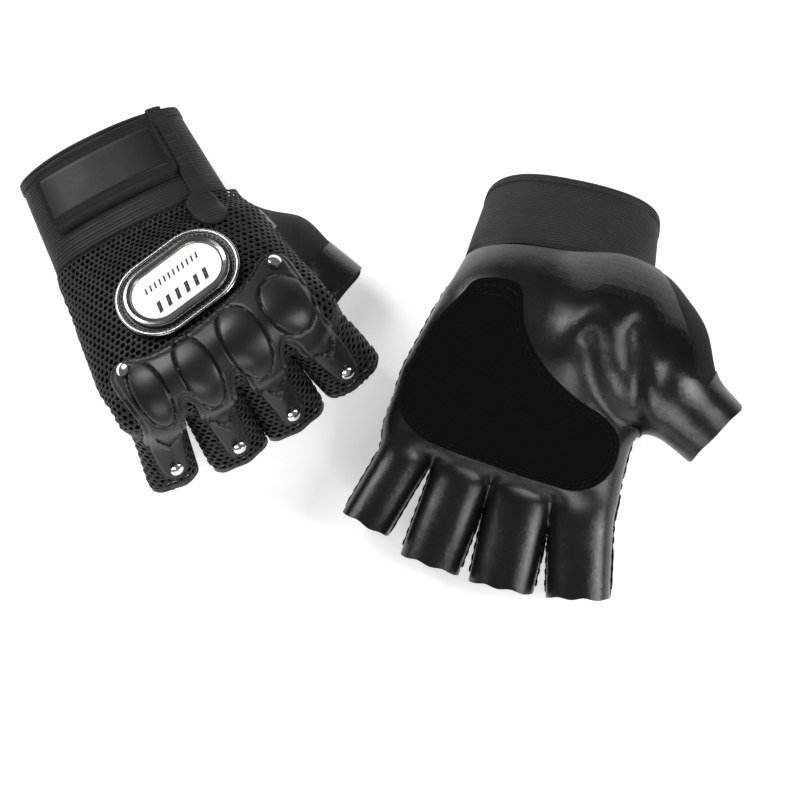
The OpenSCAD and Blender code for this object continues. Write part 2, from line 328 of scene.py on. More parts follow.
def closed(outer, inner, tris):
    """A solid between two copies of one sheet; returns points, faces and a material number for each face."""
    n = len(outer)
    edge = rim(tris)
    sides = [[b, a, a + n, b + n] for a, b in edge.tolist()]
    faces = tris.tolist() + (tris[:, ::-1] + n).tolist() + sides
    mats = [0] * len(tris) + [1] * len(tris) + [2] * len(sides)
    return np.concatenate([outer, inner]), faces, mats


# ------------------------------------------------------------------ flat outlines
def plan_sheet(level, lo, hi, step):
    """A triangulated sheet in plan inside an outline given by its signed distance."""
    us = np.arange(lo[0], hi[0] + step, step)
    vs = np.arange(lo[1], hi[1] + step, step)
    p = np.stack(np.meshgrid(us, vs, indexing="ij"), -1).reshape(-1, 2)
    near = np.abs(level(p)) < 0.71 * step
    for _ in range(3):
        q = p[near]
        d = level(q)
        g = np.stack([level(q + e) - level(q - e) for e in np.eye(2) * 0.05], -1) / 0.1
        p[near] = q - g * (d / np.maximum((g * g).sum(1), 0.25))[:, None]
    i, j = np.meshgrid(np.arange(len(us) - 1), np.arange(len(vs) - 1), indexing="ij")
    a = (i * len(vs) + j).ravel()
    c = a + len(vs) + 1
    b, d = a + len(vs), a + 1
    odd = ((i + j) % 2 == 1).ravel()
    one = np.where(odd[:, None], np.stack([a, b, d], 1), np.stack([a, b, c], 1))
    two = np.where(odd[:, None], np.stack([b, c, d], 1), np.stack([a, c, d], 1))
    tris = np.concatenate([one, two])
    inside = level(p) < 0.05 * step
    tris = tris[inside[tris].all(1)]
    return compact(p, tris)


def curve(points, n=10):
    """A closed smooth curve through the points."""
    p = np.array(points, float)
    a, b, c, d = np.roll(p, 1, 0), p, np.roll(p, -1, 0), np.roll(p, -2, 0)
    out = []
    for t in np.linspace(0, 1, n, endpoint=False):
        out.append(0.5 * (2 * b + (c - a) * t + (2 * a - 5 * b + 4 * c - d) * t * t
                          + (3 * b - a - 3 * c + d) * t ** 3))
    return np.stack(out, 1).reshape(-1, 2)


def outline(loop):
    """Signed distance from a closed polyline, negative inside."""
    a, b = loop, np.roll(loop, -1, 0)

    def level(p):
        d = b - a
        w = p[:, None] - a[None]
        t = np.clip((w * d).sum(-1) / np.maximum((d * d).sum(-1), 1e-9), 0, 1)
        near = np.linalg.norm(w - t[..., None] * d, axis=-1).min(1)
        cross = ((a[None, :, 1] > p[:, None, 1]) != (b[None, :, 1] > p[:, None, 1]))
        with np.errstate(divide="ignore", invalid="ignore"):
            x = a[None, :, 0] + (p[:, None, 1] - a[None, :, 1]) * d[None, :, 0] / d[None, :, 1]
        inside = (cross & (p[:, None, 0] < x)).sum(1) % 2 == 1
        return np.where(inside, -near, near)

    return level


def rounded_box(p, lo, hi, r):
    lo, hi = np.array(lo, float), np.array(hi, float)
    q = np.abs(p - (lo + hi) / 2) - (hi - lo) / 2 + r
    return np.linalg.norm(np.maximum(q, 0), axis=1) + np.minimum(q.max(1), 0) - r


def bullnose(inward, thick, r):
    """The height of a sheet with a rounded edge, at a distance in from that edge."""
    u = np.clip(inward / r, 0, 1)
    return thick * (0.35 + 0.65 * np.sqrt(1 - (1 - u) ** 2))


# ------------------------------------------------------------------ materials
def nodes_of(name):
    m = bpy.data.materials.new(name)
    m.use_nodes = True
    t = m.node_tree
    return m, t, t.nodes["Principled BSDF"]


def material(name, base, rough, vary=0.0, bumps=(), metal=0.0, coat=0.0, sheen=0.0, spec=0.5, dust=0.0):
    """A procedural finish with varied gloss; a bump is a kind, a scale per metre and a height in m."""
    m, t, b = nodes_of(name)
    b.inputs["Base Color"].default_value = (*base, 1)
    b.inputs["Roughness"].default_value = rough
    b.inputs["Metallic"].default_value = metal
    b.inputs["Coat Weight"].default_value = coat
    b.inputs["Coat Roughness"].default_value = 0.25
    b.inputs["Sheen Weight"].default_value = sheen
    b.inputs["Sheen Roughness"].default_value = 0.6
    b.inputs["Specular IOR Level"].default_value = spec
    co = t.nodes.new("ShaderNodeTexCoord")
    if vary:
        noise = t.nodes.new("ShaderNodeTexNoise")
        noise.inputs["Scale"].default_value = 60
        noise.inputs["Detail"].default_value = 5
        t.links.new(co.outputs["Object"], noise.inputs["Vector"])
        band = t.nodes.new("ShaderNodeMapRange")
        band.inputs["From Min"].default_value = 0.3
        band.inputs["From Max"].default_value = 0.7
        band.inputs["To Min"].default_value = max(rough - vary, 0.03)
        band.inputs["To Max"].default_value = min(rough + vary, 1)
        t.links.new(noise.outputs["Fac"], band.inputs["Value"])
        t.links.new(band.outputs["Result"], b.inputs["Roughness"])
    if dust:
        noise = t.nodes.new("ShaderNodeTexNoise")
        noise.inputs["Scale"].default_value = 900
        noise.inputs["Detail"].default_value = 3
        t.links.new(co.outputs["Object"], noise.inputs["Vector"])
        mix = t.nodes.new("ShaderNodeMix")
        mix.data_type = "RGBA"
        mix.inputs["A"].default_value = (*[c * (1 - dust) for c in base], 1)
        mix.inputs["B"].default_value = (*[c * (1 + dust) for c in base], 1)
        t.links.new(noise.outputs["Fac"], mix.inputs["Factor"])
        t.links.new(mix.outputs["Result"], b.inputs["Base Color"])
    last = None
    for kind, scale, height in bumps:
        if kind == "cells":
            tex = t.nodes.new("ShaderNodeTexVoronoi")
            tex.feature = "DISTANCE_TO_EDGE"
            out = tex.outputs["Distance"]
        elif kind == "threads":
            tex = t.nodes.new("ShaderNodeTexWave")
            tex.inputs["Distortion"].default_value = 1.5
            out = tex.outputs["Fac"]
        else:
            tex = t.nodes.new("ShaderNodeTexNoise")
            tex.inputs["Detail"].default_value = 4
            out = tex.outputs["Fac"]
        tex.inputs["Scale"].default_value = scale
        t.links.new(co.outputs["Object"], tex.inputs["Vector"])
        bump = t.nodes.new("ShaderNodeBump")
        bump.inputs["Distance"].default_value = height
        bump.inputs["Strength"].default_value = 1
        t.links.new(out, bump.inputs["Height"])
        if last:
            t.links.new(last.outputs["Normal"], bump.inputs["Normal"])
        last = bump
    if last:
        t.links.new(last.outputs["Normal"], b.inputs["Normal"])
    return m


LEATHER = material("leather_grain", (0.0045, 0.0045, 0.0048), 0.26, 0.04,
                   (("cells", 1500, 0.00009), ("noise", 350, 0.00002), ("noise", 90, 0.0003)), spec=0.55)
HEM = material("leather_hem", (0.011, 0.011, 0.0115), 0.4, 0.05, (("cells", 1500, 0.00014),), spec=0.6)
INNER = material("leather_inner", (0.07, 0.07, 0.07), 0.7, 0.1, (("noise", 900, 0.0001),))
EDGE = material("raw_edge", (0.012, 0.012, 0.012), 0.8, 0.1, spec=0.2)
SUEDE = material("suede", (0.0022, 0.0022, 0.0024), 0.95, 0.0, (("noise", 2600, 0.0001),), sheen=0.01,
                 spec=0.06, dust=0.4)
NET = material("netting", (0.0065, 0.0055, 0.0052), 0.55, 0.1, (("noise", 2000, 0.0001),), spec=0.3)
LINER = material("net_liner", (0.002, 0.0018, 0.0018), 0.95, 0.0, (("noise", 700, 0.0002),), spec=0.05,
                 dust=0.5)
STRETCH = material("stretch_knit", (0.006, 0.006, 0.0062), 0.75, 0.1, (("threads", 420, 0.0002),), spec=0.2,
                   sheen=0.02)
ELASTIC = material("elastic_rib", (0.0095, 0.0095, 0.0098), 0.62, 0.1, (("noise", 1700, 0.00012),), spec=0.3,
                   sheen=0.02)
TAPE = material("binding_tape", (0.0095, 0.0095, 0.01), 0.6, 0.08, (("noise", 1800, 0.00012),), spec=0.3,
                sheen=0.02)
STRAP = material("strap_weave", (0.0065, 0.0065, 0.0068), 0.72, 0.08, (("noise", 2200, 0.00012),), spec=0.25,
                 sheen=0.02)
PATCH = material("smooth_patch", (0.0045, 0.0045, 0.0048), 0.5, 0.08, (("noise", 500, 0.00004),), spec=0.35)
RUBBER = material("guard_moulding", (0.006, 0.006, 0.0068), 0.4, 0.04, (("noise", 1500, 0.00003),), spec=0.4)
THREAD = material("thread", (0.012, 0.012, 0.0125), 0.6, 0.1, (("threads", 4000, 0.0001),), spec=0.3)
DARK_THREAD = material("dark_thread", (0.005, 0.005, 0.0052), 0.7, 0.1, (("threads", 4000, 0.0001),),
                       spec=0.12)
CHROME = material("rivet_chrome", (0.82, 0.81, 0.8), 0.12, 0.05, (("noise", 700, 0.00003),), metal=1)
DARK_CHROME = material("dark_chrome", (0.36, 0.34, 0.32), 0.2, 0.06, (("noise", 500, 0.00004),), metal=1)
CHANNEL = material("bezel_channel", (0.012, 0.012, 0.012), 0.4, 0.1, (("noise", 1200, 0.0001),))
WHITE = material("plate_white", (0.82, 0.82, 0.82), 0.28, 0.05, (("noise", 200, 0.00004),), coat=0.3)
INK = material("plate_bars", (0.03, 0.03, 0.03), 0.4, 0.05)


# the lowest point, and how softly parts flatten towards it, in m
FLOOR_GAP, SETTLE = 0.0003, 0.0007


def piece(name, data, g, mats, smooth=40, shade=None):
    """A named mesh from flat-glove points, laid in the row frame and kept above the floor."""
    points, faces, kinds = data
    if g:
        faces = [f[::-1] for f in faces]
    mesh = bpy.data.meshes.new(name)
    points = place(points, g)
    points[:, 2] = FLOOR_GAP + SETTLE * np.logaddexp(0, (points[:, 2] - FLOOR_GAP) / SETTLE)
    mesh.from_pydata(points.tolist(), [], faces)
    for m in mats:
        mesh.materials.append(m)
    top = len(mats) - 1
    mesh.polygons.foreach_set("material_index", [min(k, top) for k in kinds])
    mesh.update()
    o = bpy.data.objects.new(name, mesh)
    bpy.context.scene.collection.objects.link(o)
    mesh.shade_smooth()
    if shade is not None:
        shade_as(mesh, data[0], shade, g)
    elif smooth:
        mesh.set_sharp_from_angle(angle=math.radians(smooth))
    return o


def shade_as(mesh, points, nrm, g):
    """Gives the mesh's faces normals from the flat glove, so that neighbouring panels shade as one skin."""
    a, b = place(points, g), place(points + nrm * 0.2, g)
    turned = b - a
    turned /= np.linalg.norm(turned, axis=1)[:, None]
    loops = np.empty(len(mesh.loops), int)
    mesh.loops.foreach_get("vertex_index", loops)
    face = np.zeros(len(mesh.polygons) * 3)
    mesh.polygons.foreach_get("normal", face)
    kinds = np.empty(len(mesh.polygons), int)
    mesh.polygons.foreach_get("material_index", kinds)
    totals = np.empty(len(mesh.polygons), int)
    mesh.polygons.foreach_get("loop_total", totals)
    face = np.repeat(face.reshape(-1, 3), totals, 0)
    own = turned[loops]
    side = np.repeat(totals == 4, totals)
    mesh.normals_split_custom_set(np.where(side[:, None], face, own).tolist())


def merged(*parts):
    points, faces, kinds, n = [], [], [], 0
    for p, f, k in parts:
        points.append(p)
        faces += [[v + n for v in one] for one in f]
        kinds += list(k)
        n += len(p)
    return np.concatenate(points), faces, kinds


def stitches(path, lift_dir, length, r, gap, kind=0):
    """Short thread capsules along a path of flat-glove points."""
    path = np.array(path, float)
    seg = np.linalg.norm(np.diff(path, axis=0), axis=1)
    s = np.concatenate([[0], np.cumsum(seg)])
    n = max(int(s[-1] / (length + gap)), 1)
    mid = (np.arange(n) + 0.5) * s[-1] / n
    at = np.stack([np.interp(mid, s, path[:, k]) for k in range(3)], 1)
    ahead = np.stack([np.interp(mid + 0.3, s, path[:, k]) - np.interp(mid - 0.3, s, path[:, k])
                      for k in range(3)], 1)
    t = ahead / np.maximum(np.linalg.norm(ahead, axis=1), 1e-9)[:, None]
    up = np.stack([np.interp(mid, s, lift_dir[:, k]) for k in range(3)], 1)
    side = np.cross(t, up)
    side /= np.maximum(np.linalg.norm(side, axis=1), 1e-9)[:, None]
    up = np.cross(side, t)
    points, faces = [], []
    rows = ((-0.5, 0.15), (-0.38, 0.85), (0.0, 1.0), (0.38, 0.85), (0.5, 0.15))
    ring = [(math.cos(a), math.sin(a)) for a in np.arange(6) * math.pi / 3]
    for along, wide in rows:
        for c, d in ring:
            ring_at = at + t * along * length - up * r * 0.6 * (1 - wide)
            points.append(ring_at + (side * c + up * d) * r * wide)
    points = np.stack(points, 1)
    k = len(ring)
    base = [[i * k + j, i * k + (j + 1) % k, (i + 1) * k + (j + 1) % k, (i + 1) * k + j]
            for i in range(len(rows) - 1) for j in range(k)]
    base += [list(range(k))[::-1], [len(rows) * k - k + j for j in range(k)]]
    m = len(rows) * k
    faces = [[v + q * m for v in f] for q in range(n) for f in base]
    return points.reshape(-1, 3), faces, [kind] * len(faces)


# ------------------------------------------------------------------ sizes in mm
STEP = 1.15                       # the skin's grid
PALM_PATCH = ((32.6, 13.6), (29.5, 11.0), (23, 10), (14.7, 10.0), (11.2, 11.3), (8.6, 14.5), (4, 20.9),
              (-1.8, 27), (-10.7, 33.4), (-24, 39.5), (-33, 42), (-39.5, 46), (-43, 52), (-43.2, 61),
              (-39.6, 70), (-32, 75.8), (-22.5, 77.2), (-4.8, 77.6), (21.4, 76.4), (35, 72.6), (43, 65),
              (44.6, 54), (43, 40), (39.5, 27))
GUARD_TOP = ((-42.6, 58), (-41.5, 46.8), (-36, 44.0), (-31, 45.0), (-26.5, 48.6), (-20, 51.8), (-12, 54.2),
             (-4, 56), (4, 57), (12, 57.6), (24, 56.6), (33, 52.5), (38.2, 51.6), (42.0, 55), (42.4, 62))
STRIP = 8.3                       # half the width of a prong's root
# each dome's middle and half sizes
DOMES = ((-32, 63.5, 9.6, 8.2), (-10, 67, 8.1, 9.3), (11.3, 67.6, 6.8, 9.1), (31.6, 66, 6.2, 9.3))
GUARD_LIFT = 1.7                  # the moulding's underside over the skin
GUARD_SPLIT = 76.5                # where the hand's plate ends and the prongs' strips start
NET_PITCH, NET_ROW, NET_HOLE = 2.75, 2.25, (0.95, 0.72)
LINER_SINK = 0.9                  # the net's liner under the skin
HEM_WIDE = 2.2                    # the band at the back of a stall's end
ROUND = 6.0                       # radius of a prong's end
THUMB_BLEND = (7, 20)             # two distances out past the thumb's knuckle, in mm; follow finds points at them and leaves them unused


def net(embed, lo, hi, keep, pitch=NET_PITCH, row=NET_ROW, hole=NET_HOLE):
    """Netting with staggered oval holes; embed takes plan points and a height."""
    cells = []
    for j, v in enumerate(np.arange(lo[1], hi[1], row)):
        for u in np.arange(lo[0] + (pitch / 2 if j % 2 else 0), hi[0], pitch):
            cells.append((u, v))
    c = np.array(cells)
    c = c[keep(c)]
    w, h = pitch / 2, row / 3
    corner = np.array([(0, 2 * h), (w, h), (w, -h), (0, -2 * h), (-w, -h), (-w, h)])
    ring = np.empty((12, 2))
    ring[::2] = corner
    ring[1::2] = (corner + np.roll(corner, -1, 0)) / 2
    angle = np.arctan2(ring[:, 1], ring[:, 0])
    oval = np.stack([hole[0] * np.cos(angle), hole[1] * np.sin(angle)], 1)
    wobble = 1 + 0.16 * np.sin(c[:, 0] * 3.1 + c[:, 1] * 1.7)
    plan = np.concatenate([c[:, None] + ring[None], c[:, None] + oval[None] * wobble[:, None, None]], 1)
    flat = plan.reshape(-1, 2)
    key = np.round(flat * 50).astype(int)
    _, first, inverse = np.unique(key, axis=0, return_index=True, return_inverse=True)
    flat = flat[first]
    ids = inverse.reshape(len(c), 24)
    after = [(k + 1) % 12 for k in range(12)]
    quads = np.concatenate([np.stack([ids[:, 12 + k], ids[:, k], ids[:, m], ids[:, 12 + m]], 1)
                            for k, m in enumerate(after)])[:, ::-1]
    tris = halves(quads)
    return closed(embed(flat, 0.75), embed(flat, 0.15), tris)


# ------------------------------------------------------------------ pieces of one glove
def world(p, g):
    return tuple(float(v) for v in place(np.array([p], float), g)[0])


def finger_split(g, i):
    """Two points in the row frame: one near the knuckle line and one 17 mm out along the finger."""
    a = np.array([FINGER_X[i], 62.0, 4.0])
    b = on_finger(np.array([[0.0, 17.0, 4.0]]), g, i)[0]
    return world(a, g), world(b, g)


def follow(o, side, g, body):
    """body is hand, strap, thumb or a finger's number."""
    if body in ("hand", "strap"):
        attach(o, f"{side}_{body}")
    elif body == "thumb":
        _, b, c = (np.array(p, float) for p in THUMBS[g])
        out = (c - b) / np.linalg.norm(c - b)
        world(b + out * THUMB_BLEND[0], g)
        world(b + out * THUMB_BLEND[1], g)
        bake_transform(o)
    else:
        start, end = finger_split(g, body)
        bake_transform(o)


def off_thumb(p, g):
    """Below 0 where the thumb is the part of the glove that reaches furthest."""
    thumb = thumb_part(p, g)
    return thumb - np.min([hand_part(p)] + [finger_part(p, g, i) for i in range(4)], 0)


def back_level(p):
    """Positive on the netted back: the seam runs a little above the side line."""
    return p[:, 2] - 4.2 - 0.8 * np.sin(p[:, 1] / 9)


def split(sheet, tris, level):
    """Cuts triangles along a level, into inside and outside; the sheet gains the new points and normals."""
    points, nrm = sheet
    d = level(points)
    inside = d <= 0
    n = inside[tris].sum(1)
    mixed = tris[(n == 1) | (n == 2)]
    if not len(mixed):
        return tris[n == 3], tris[n == 0]
    alone = np.where(inside[mixed].sum(1) == 1, 1, 0)
    first = np.argmax(inside[mixed] == alone[:, None].astype(bool), 1)
    rows = np.arange(len(mixed))
    a, b, c = (mixed[rows, (first + k) % 3] for k in range(3))
    edges = np.sort(np.concatenate([np.stack([a, b], 1), np.stack([a, c], 1)]), 1)
    unique, inverse = np.unique(edges, axis=0, return_inverse=True)
    u, v = unique.T
    t = (d[u] / (d[u] - d[v]))[:, None]
    base = len(points)
    sheet[0] = np.concatenate([points, points[u] * (1 - t) + points[v] * t])
    mixed_n = nrm[u] * (1 - t) + nrm[v] * t
    sheet[1] = np.concatenate([nrm, mixed_n / np.linalg.norm(mixed_n, axis=1)[:, None]])
    inverse = inverse.ravel() + base
    p, q = inverse[:len(mixed)], inverse[len(mixed):]
    tip = np.stack([a, p, q], 1)
    rest = np.concatenate([np.stack([p, b, c], 1), np.stack([p, c, q], 1)])
    is_in = alone == 1
    twice = np.concatenate([is_in, is_in])
    return (np.concatenate([tris[n == 3], tip[is_in], rest[~twice]]),
            np.concatenate([tris[n == 0], tip[~is_in], rest[twice]]))


def skin_parts(g):
    """The sewn skin: the points and normals that its panels share, and each panel's triangles."""
    field = lambda q: skin_field(q, g)
    lo, hi = ((-74, -2, -42), (52, 126, 24)) if g == 0 else ((-98, -2, -36), (52, 126, 24))
    points, quads = surface(field, lo, hi, STEP)
    a, b, c = (np.array(p, float) for p in THUMBS[g])
    out = (c - b) / np.linalg.norm(c - b)
    points = relaxed(points, quads, 4)
    shade = relaxed(normals(points, halves(quads)), quads, 6)
    sheet = [points, shade / np.linalg.norm(shade, axis=1)[:, None]]
    tris, _ = split(sheet, halves(quads), lambda q: 1.5 - q[:, 1])
    # the thumb's end, its blending part, and the knit on its back
    rest, thumb = split(sheet, tris, lambda q: np.minimum(2 - off_thumb(q, g), (q - b) @ out + 8))
    thumb, _ = split(sheet, thumb, lambda q: (q - c) @ out - 0.5 * np.sin(q[:, 2] * 0.5))
    across = np.cross(c - a, (0, 0, 1.0))
    up = np.cross(across, c - a)
    up /= np.linalg.norm(up)
    outer = across / np.linalg.norm(across) * (-1 if across[0] > 0 else 1)

    def knit(q):
        d = (b - a) / np.linalg.norm(b - a)
        spoke = q - a
        spoke = spoke - (spoke @ d)[:, None] * d
        facing = spoke @ (up * 0.7 + outer * 0.71) / np.linalg.norm(spoke, axis=1)
        return 8 * (0.12 - facing)

    thumb_leather, thumb_knit = split(sheet, thumb, lambda q: -np.maximum(knit(q), (q - c) @ out + 16))
    rest, base_knit = split(sheet, rest, lambda q: -np.maximum(knit(q), off_thumb(q, g) + 2.0))
    palm, back = split(sheet, rest, back_level)
    parts = {"thumb_leather": thumb_leather, "thumb_knit": thumb_knit, "base_knit": base_knit}
    for name, panel in (("palm", palm), ("back", back)):
        near, far = split(sheet, panel, lambda q: q[:, 1] - 62)
        parts[name] = near
        for i in range(4):
            others = [k for k in range(4) if k != i]

            def mine(q, i=i, others=others):
                return finger_part(q, g, i) - np.min([finger_part(q, g, k) for k in others], 0)

            own, _ = split(sheet, far, mine)

            def cut(q, i=i):
                f = off_finger(q, g, i)
                slant = (1.6 if g == 0 else 0.5) * f[:, 2] / 10
                return f[:, 1] - STALL_END[i] - 0.4 * np.sin(f[:, 0] * 0.6 + i) + slant

            own, _ = split(sheet, own, cut)
            if name == "back":
                own, parts["hem", i] = split(sheet, own, lambda q, cut=cut: cut(q) + HEM_WIDE)
            parts[name, i] = own
    return sheet, parts


def panel(sheet, tris, sink, t):
    """A thick panel from part of the shared sheet, sunk under it, with the whole sheet's normals."""
    points, nrm = sheet
    used, inverse = np.unique(tris, return_inverse=True)
    tris = inverse.reshape(-1, 3)
    n = nrm[used]
    outer = points[used] - n * sink
    return closed(outer, outer - n * t, tris), np.concatenate([n, -n])


def make_skin(side, g):
    sheet, parts = skin_parts(g)
    leather = (LEATHER, INNER, EDGE)
    knit = (STRETCH, INNER, EDGE)

    def sew(name, key, sink, t, mats, body, slot, *nodes):
        data, nrm = panel(sheet, parts[key], sink, t)
        o = piece(f"{side}_{name}", data, g, mats, shade=nrm)
        follow(o, side, g, body)
        if nodes:
            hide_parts(*[f"{side}_{n}" for n in nodes])

    sew("palm_leather", "palm", 0, 1.1, leather, "hand", "leather", "palm_panel")
    sew("back_liner", "back", LINER_SINK, 0.5, (LINER,), "hand", "mesh")
    sew("thumb_leather", "thumb_leather", 0, 1.1, leather, "thumb", "leather", "thumb_stall")
    sew("thumb_knit", "thumb_knit", 0.3, 0.7, knit, "thumb", "stretch_fabric")
    sew("thumb_base_knit", "base_knit", 0.3, 0.7, knit, "hand", "stretch_fabric", "thumb_base")
    for i, f in enumerate(FINGERS):
        sew(f"{f}_leather", ("palm", i), 0, 1.0, leather, i, "leather", f"{f}_stall")
        sew(f"{f}_liner", ("back", i), LINER_SINK, 0.5, (LINER, INNER, EDGE), i, "mesh")
        sew(f"{f}_hem", ("hem", i), -0.8, 1.6, (HEM, INNER, EDGE), i, "leather")


def hand_arc(p, g, lift):
    """From the distance round the back and the place along the arm to the skin."""
    s, y = p[:, 0], p[:, 1]
    angles = np.linspace(-10, 190, 201)
    ring = arm(np.full(201, 40.0), angles, SKIN)
    length = np.concatenate([[0], np.cumsum(np.linalg.norm(np.diff(ring, axis=0), axis=1))])
    length -= np.interp(90, angles, length)
    return snap(arm(y, np.interp(-s, length, angles), SKIN), g, lift)


def make_nets(side, g):
    def keep(c):
        q = hand_arc(c, g, 0.4)
        badge = rounded_box(turn(np.column_stack([q[:, 0], q[:, 1] - 37, 0 * c[:, 0]]), "z", -7)[:, :2],
                            (-22, -12), (22, 12), 10)
        guard = outline(guard_loop(g))(q[:, :2])
        return (back_level(q) > -1.2) & (off_thumb(q, g) > -1) & (badge > 0) & (guard > -3) & (q[:, 1] < 80)

    back = net(lambda p, h: hand_arc(p, g, h), (-66, 1), (66, 81), keep)
    o = piece(f"{side}_back_net", back, g, (NET,), smooth=0)
    follow(o, side, g, "hand")
    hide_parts(f"{side}_back_panel")
    for i, f in enumerate(FINGERS):
        r = STALL_R[i] + SKIN

        def embed(p, h, i=i, r=r):
            a = np.radians(90) - p[:, 0] / r
            q = np.stack([(r + 0.3) * np.cos(a), p[:, 1], (r + 0.3) * np.sin(a)], 1)
            return snap(on_finger(q, g, i), g, h)

        def keep(c, i=i, r=r, embed=embed):
            q = embed(c, 0.4)
            mine = np.stack([finger_part(q, g, k) for k in range(4)], 1).argmin(1) == i
            prong = (np.abs(c[:, 0]) < 5) & (c[:, 1] < STALL_END[i] - 12)
            return (back_level(q) > -1.2) & mine & (c[:, 1] < STALL_END[i] - 2.6) & ~prong

        o = piece(f"{side}_{f}_net", net(embed, (-19, 8), (19, 54), keep), g, (NET,), smooth=0)
        follow(o, side, g, i)


def guard_loop(g):
    """The moulding's outline: its top edge, then round each prong's root and the notches between them."""
    def at(i, x, y):
        return tuple(on_finger(np.array([[x, y, 0.0]]), g, i)[0][:2])

    pts = list(GUARD_TOP)
    for i in (3, 2, 1, 0):
        pts += [at(i, STRIP, 5.5), at(i, STRIP, 10), at(i, STRIP, 26), at(i, -STRIP, 26), at(i, -STRIP, 10)]
        if i:
            near, far = at(i, -STRIP, 6.5), at(i - 1, STRIP, 6.5)
            pts.append(((near[0] + far[0]) / 2, 72.3))
    pts.append(at(0, -STRIP, 5.5))
    return np.array(pts)


def guard_height(p, edge):
    """Height of the moulding over its underside; edge is the distance in from its outline."""
    h = 1.0 * np.sqrt(np.clip(edge / 0.7, 0.12, 1)) + 1.0 * ease((edge - 1.7) / 0.9)
    h = h - 0.25 * np.exp(-((edge - 1.55) / 0.3) ** 2) + 0.5 * ease((edge - 2.5) / 5)
    for x, y, a, b in DOMES:
        r = np.sqrt(((p[:, 0] - x) / a) ** 2 + ((p[:, 1] - y) / b) ** 2)
        mean = (a + b) / 2
        h = h + 0.8 * np.clip(1 - r * r, 0, 1) ** 0.7 - 0.85 * np.exp(-(((r - 1.02) * mean) / 0.4) ** 2)
    return h


def prong_width(y, tip):
    """Half the prong's width along it."""
    w = table(y, (8.5, 8.2), (15, 8.4), (23, 8.0), (30, 7.2), (tip - ROUND, 6.3), (60, 6.0))
    bow = np.sqrt(np.clip(ROUND ** 2 - (y - tip + ROUND) ** 2, 0, None))
    return np.where(y > tip - ROUND, bow * w / ROUND, w)


def make_guard(side, g):
    loop = curve(guard_loop(g), 5)
    full = outline(loop)
    shape = lambda p: np.maximum(full(p), p[:, 1] - GUARD_SPLIT)
    p, tris = plan_sheet(shape, (-44, 42), (43, GUARD_SPLIT + 1), 0.55)
    tall = guard_height(p, -full(p))
    base = top_z(p[:, 0], p[:, 1], SKIN + GUARD_LIFT)
    rise = top_z(p[:, 0], p[:, 1], SKIN + GUARD_LIFT + 1) - base
    high = np.column_stack([p, base + tall * np.minimum(rise, 1.4)])
    low = np.column_stack([p, base])
    plate = closed(high, low, tris)
    o = piece(f"{side}_guard_plate", plate, g, (RUBBER,), smooth=50)
    follow(o, side, g, "hand")
    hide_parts(f"{side}_knuckle_plate", f"{side}_knuckle_foam")
    edge_line = curve(guard_loop(g), 12)
    edge_line = edge_line[12:12 * (len(GUARD_TOP) - 1)]
    t = np.gradient(edge_line, axis=0)
    inward = np.stack([-t[:, 1], t[:, 0]], 1) / np.linalg.norm(t, axis=1)[:, None]
    q = edge_line + inward * 0.8
    path = np.column_stack([q, top_z(q[:, 0], q[:, 1], SKIN + GUARD_LIFT) + 0.95])
    up = np.column_stack([0 * q, 1 + 0 * q[:, 0]])
    o = piece(f"{side}_guard_stitches", stitches(path, up, 1.3, 0.22, 0.5), g, (THREAD,))
    follow(o, side, g, "hand")
    for i, f in enumerate(FINGERS):
        tip = STALL_END[i] - 6.5
        r = STALL_R[i] + SKIN + 0.4
        along = np.linspace(6, tip, 80)
        wide_at = prong_width(along, tip)

        def level(q, tip=tip, i=i, along=along, wide_at=wide_at):
            flat = on_finger(np.column_stack([q, 0 * q[:, 0]]), g, i)[:, :2]
            w = np.interp(q[:, 1], along, wide_at)
            return np.maximum(np.maximum(np.abs(q[:, 0]) - w, q[:, 1] - tip), GUARD_SPLIT - flat[:, 1])

        q, tris = plan_sheet(level, (-9.5, 5), (9.5, tip + 1), 0.5)
        flat = on_finger(np.column_stack([q, 0 * q[:, 0]]), g, i)
        round_share = ease((q[:, 1] - 9) / 14)
        w = np.interp(q[:, 1], along, wide_at)
        end = ROUND - np.hypot(q[:, 0] * ROUND / 6.2, q[:, 1] - tip + ROUND)
        edge = np.minimum(w - np.abs(q[:, 0]), np.where(q[:, 1] > tip - ROUND, end, 9))
        tall = guard_height(flat[:, :2], np.maximum(edge, 0))
        # the embossed chevron
        v = q[:, 1] - (STALL_END[i] - 25.5)
        for sgn, wide in ((1, 0.75), (-1, 0.4)):
            line = np.abs(v + np.abs(q[:, 0]) * 1.6) / math.hypot(1, 1.6)
            within = ease((sgn * q[:, 0] + 0.3) / 0.5) * ease((5.0 - np.abs(q[:, 0])) / 0.6)
            tall = tall + 1.0 * ease((wide + 0.3 - line) / 0.35) * within
        base_plate = top_z(flat[:, 0], flat[:, 1], SKIN + GUARD_LIFT)
        base_tube = np.sqrt(np.maximum(r * r - q[:, 0] ** 2, 1))
        base = base_plate * (1 - round_share) + base_tube * round_share
        normal_x = q[:, 0] / r * round_share
        low = flat.copy()
        low[:, 2] = base
        up = np.sqrt(1 - normal_x ** 2)
        lean = turn(np.stack([normal_x * tall, 0 * tall, up * tall], 1), "z", FANS[g][i])
        high = low + lean
        o = piece(f"{side}_{f}_prong_strip", closed(high, low, tris), g, (RUBBER,), smooth=50)
        follow(o, side, g, i)
        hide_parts(f"{side}_{f}_prong")


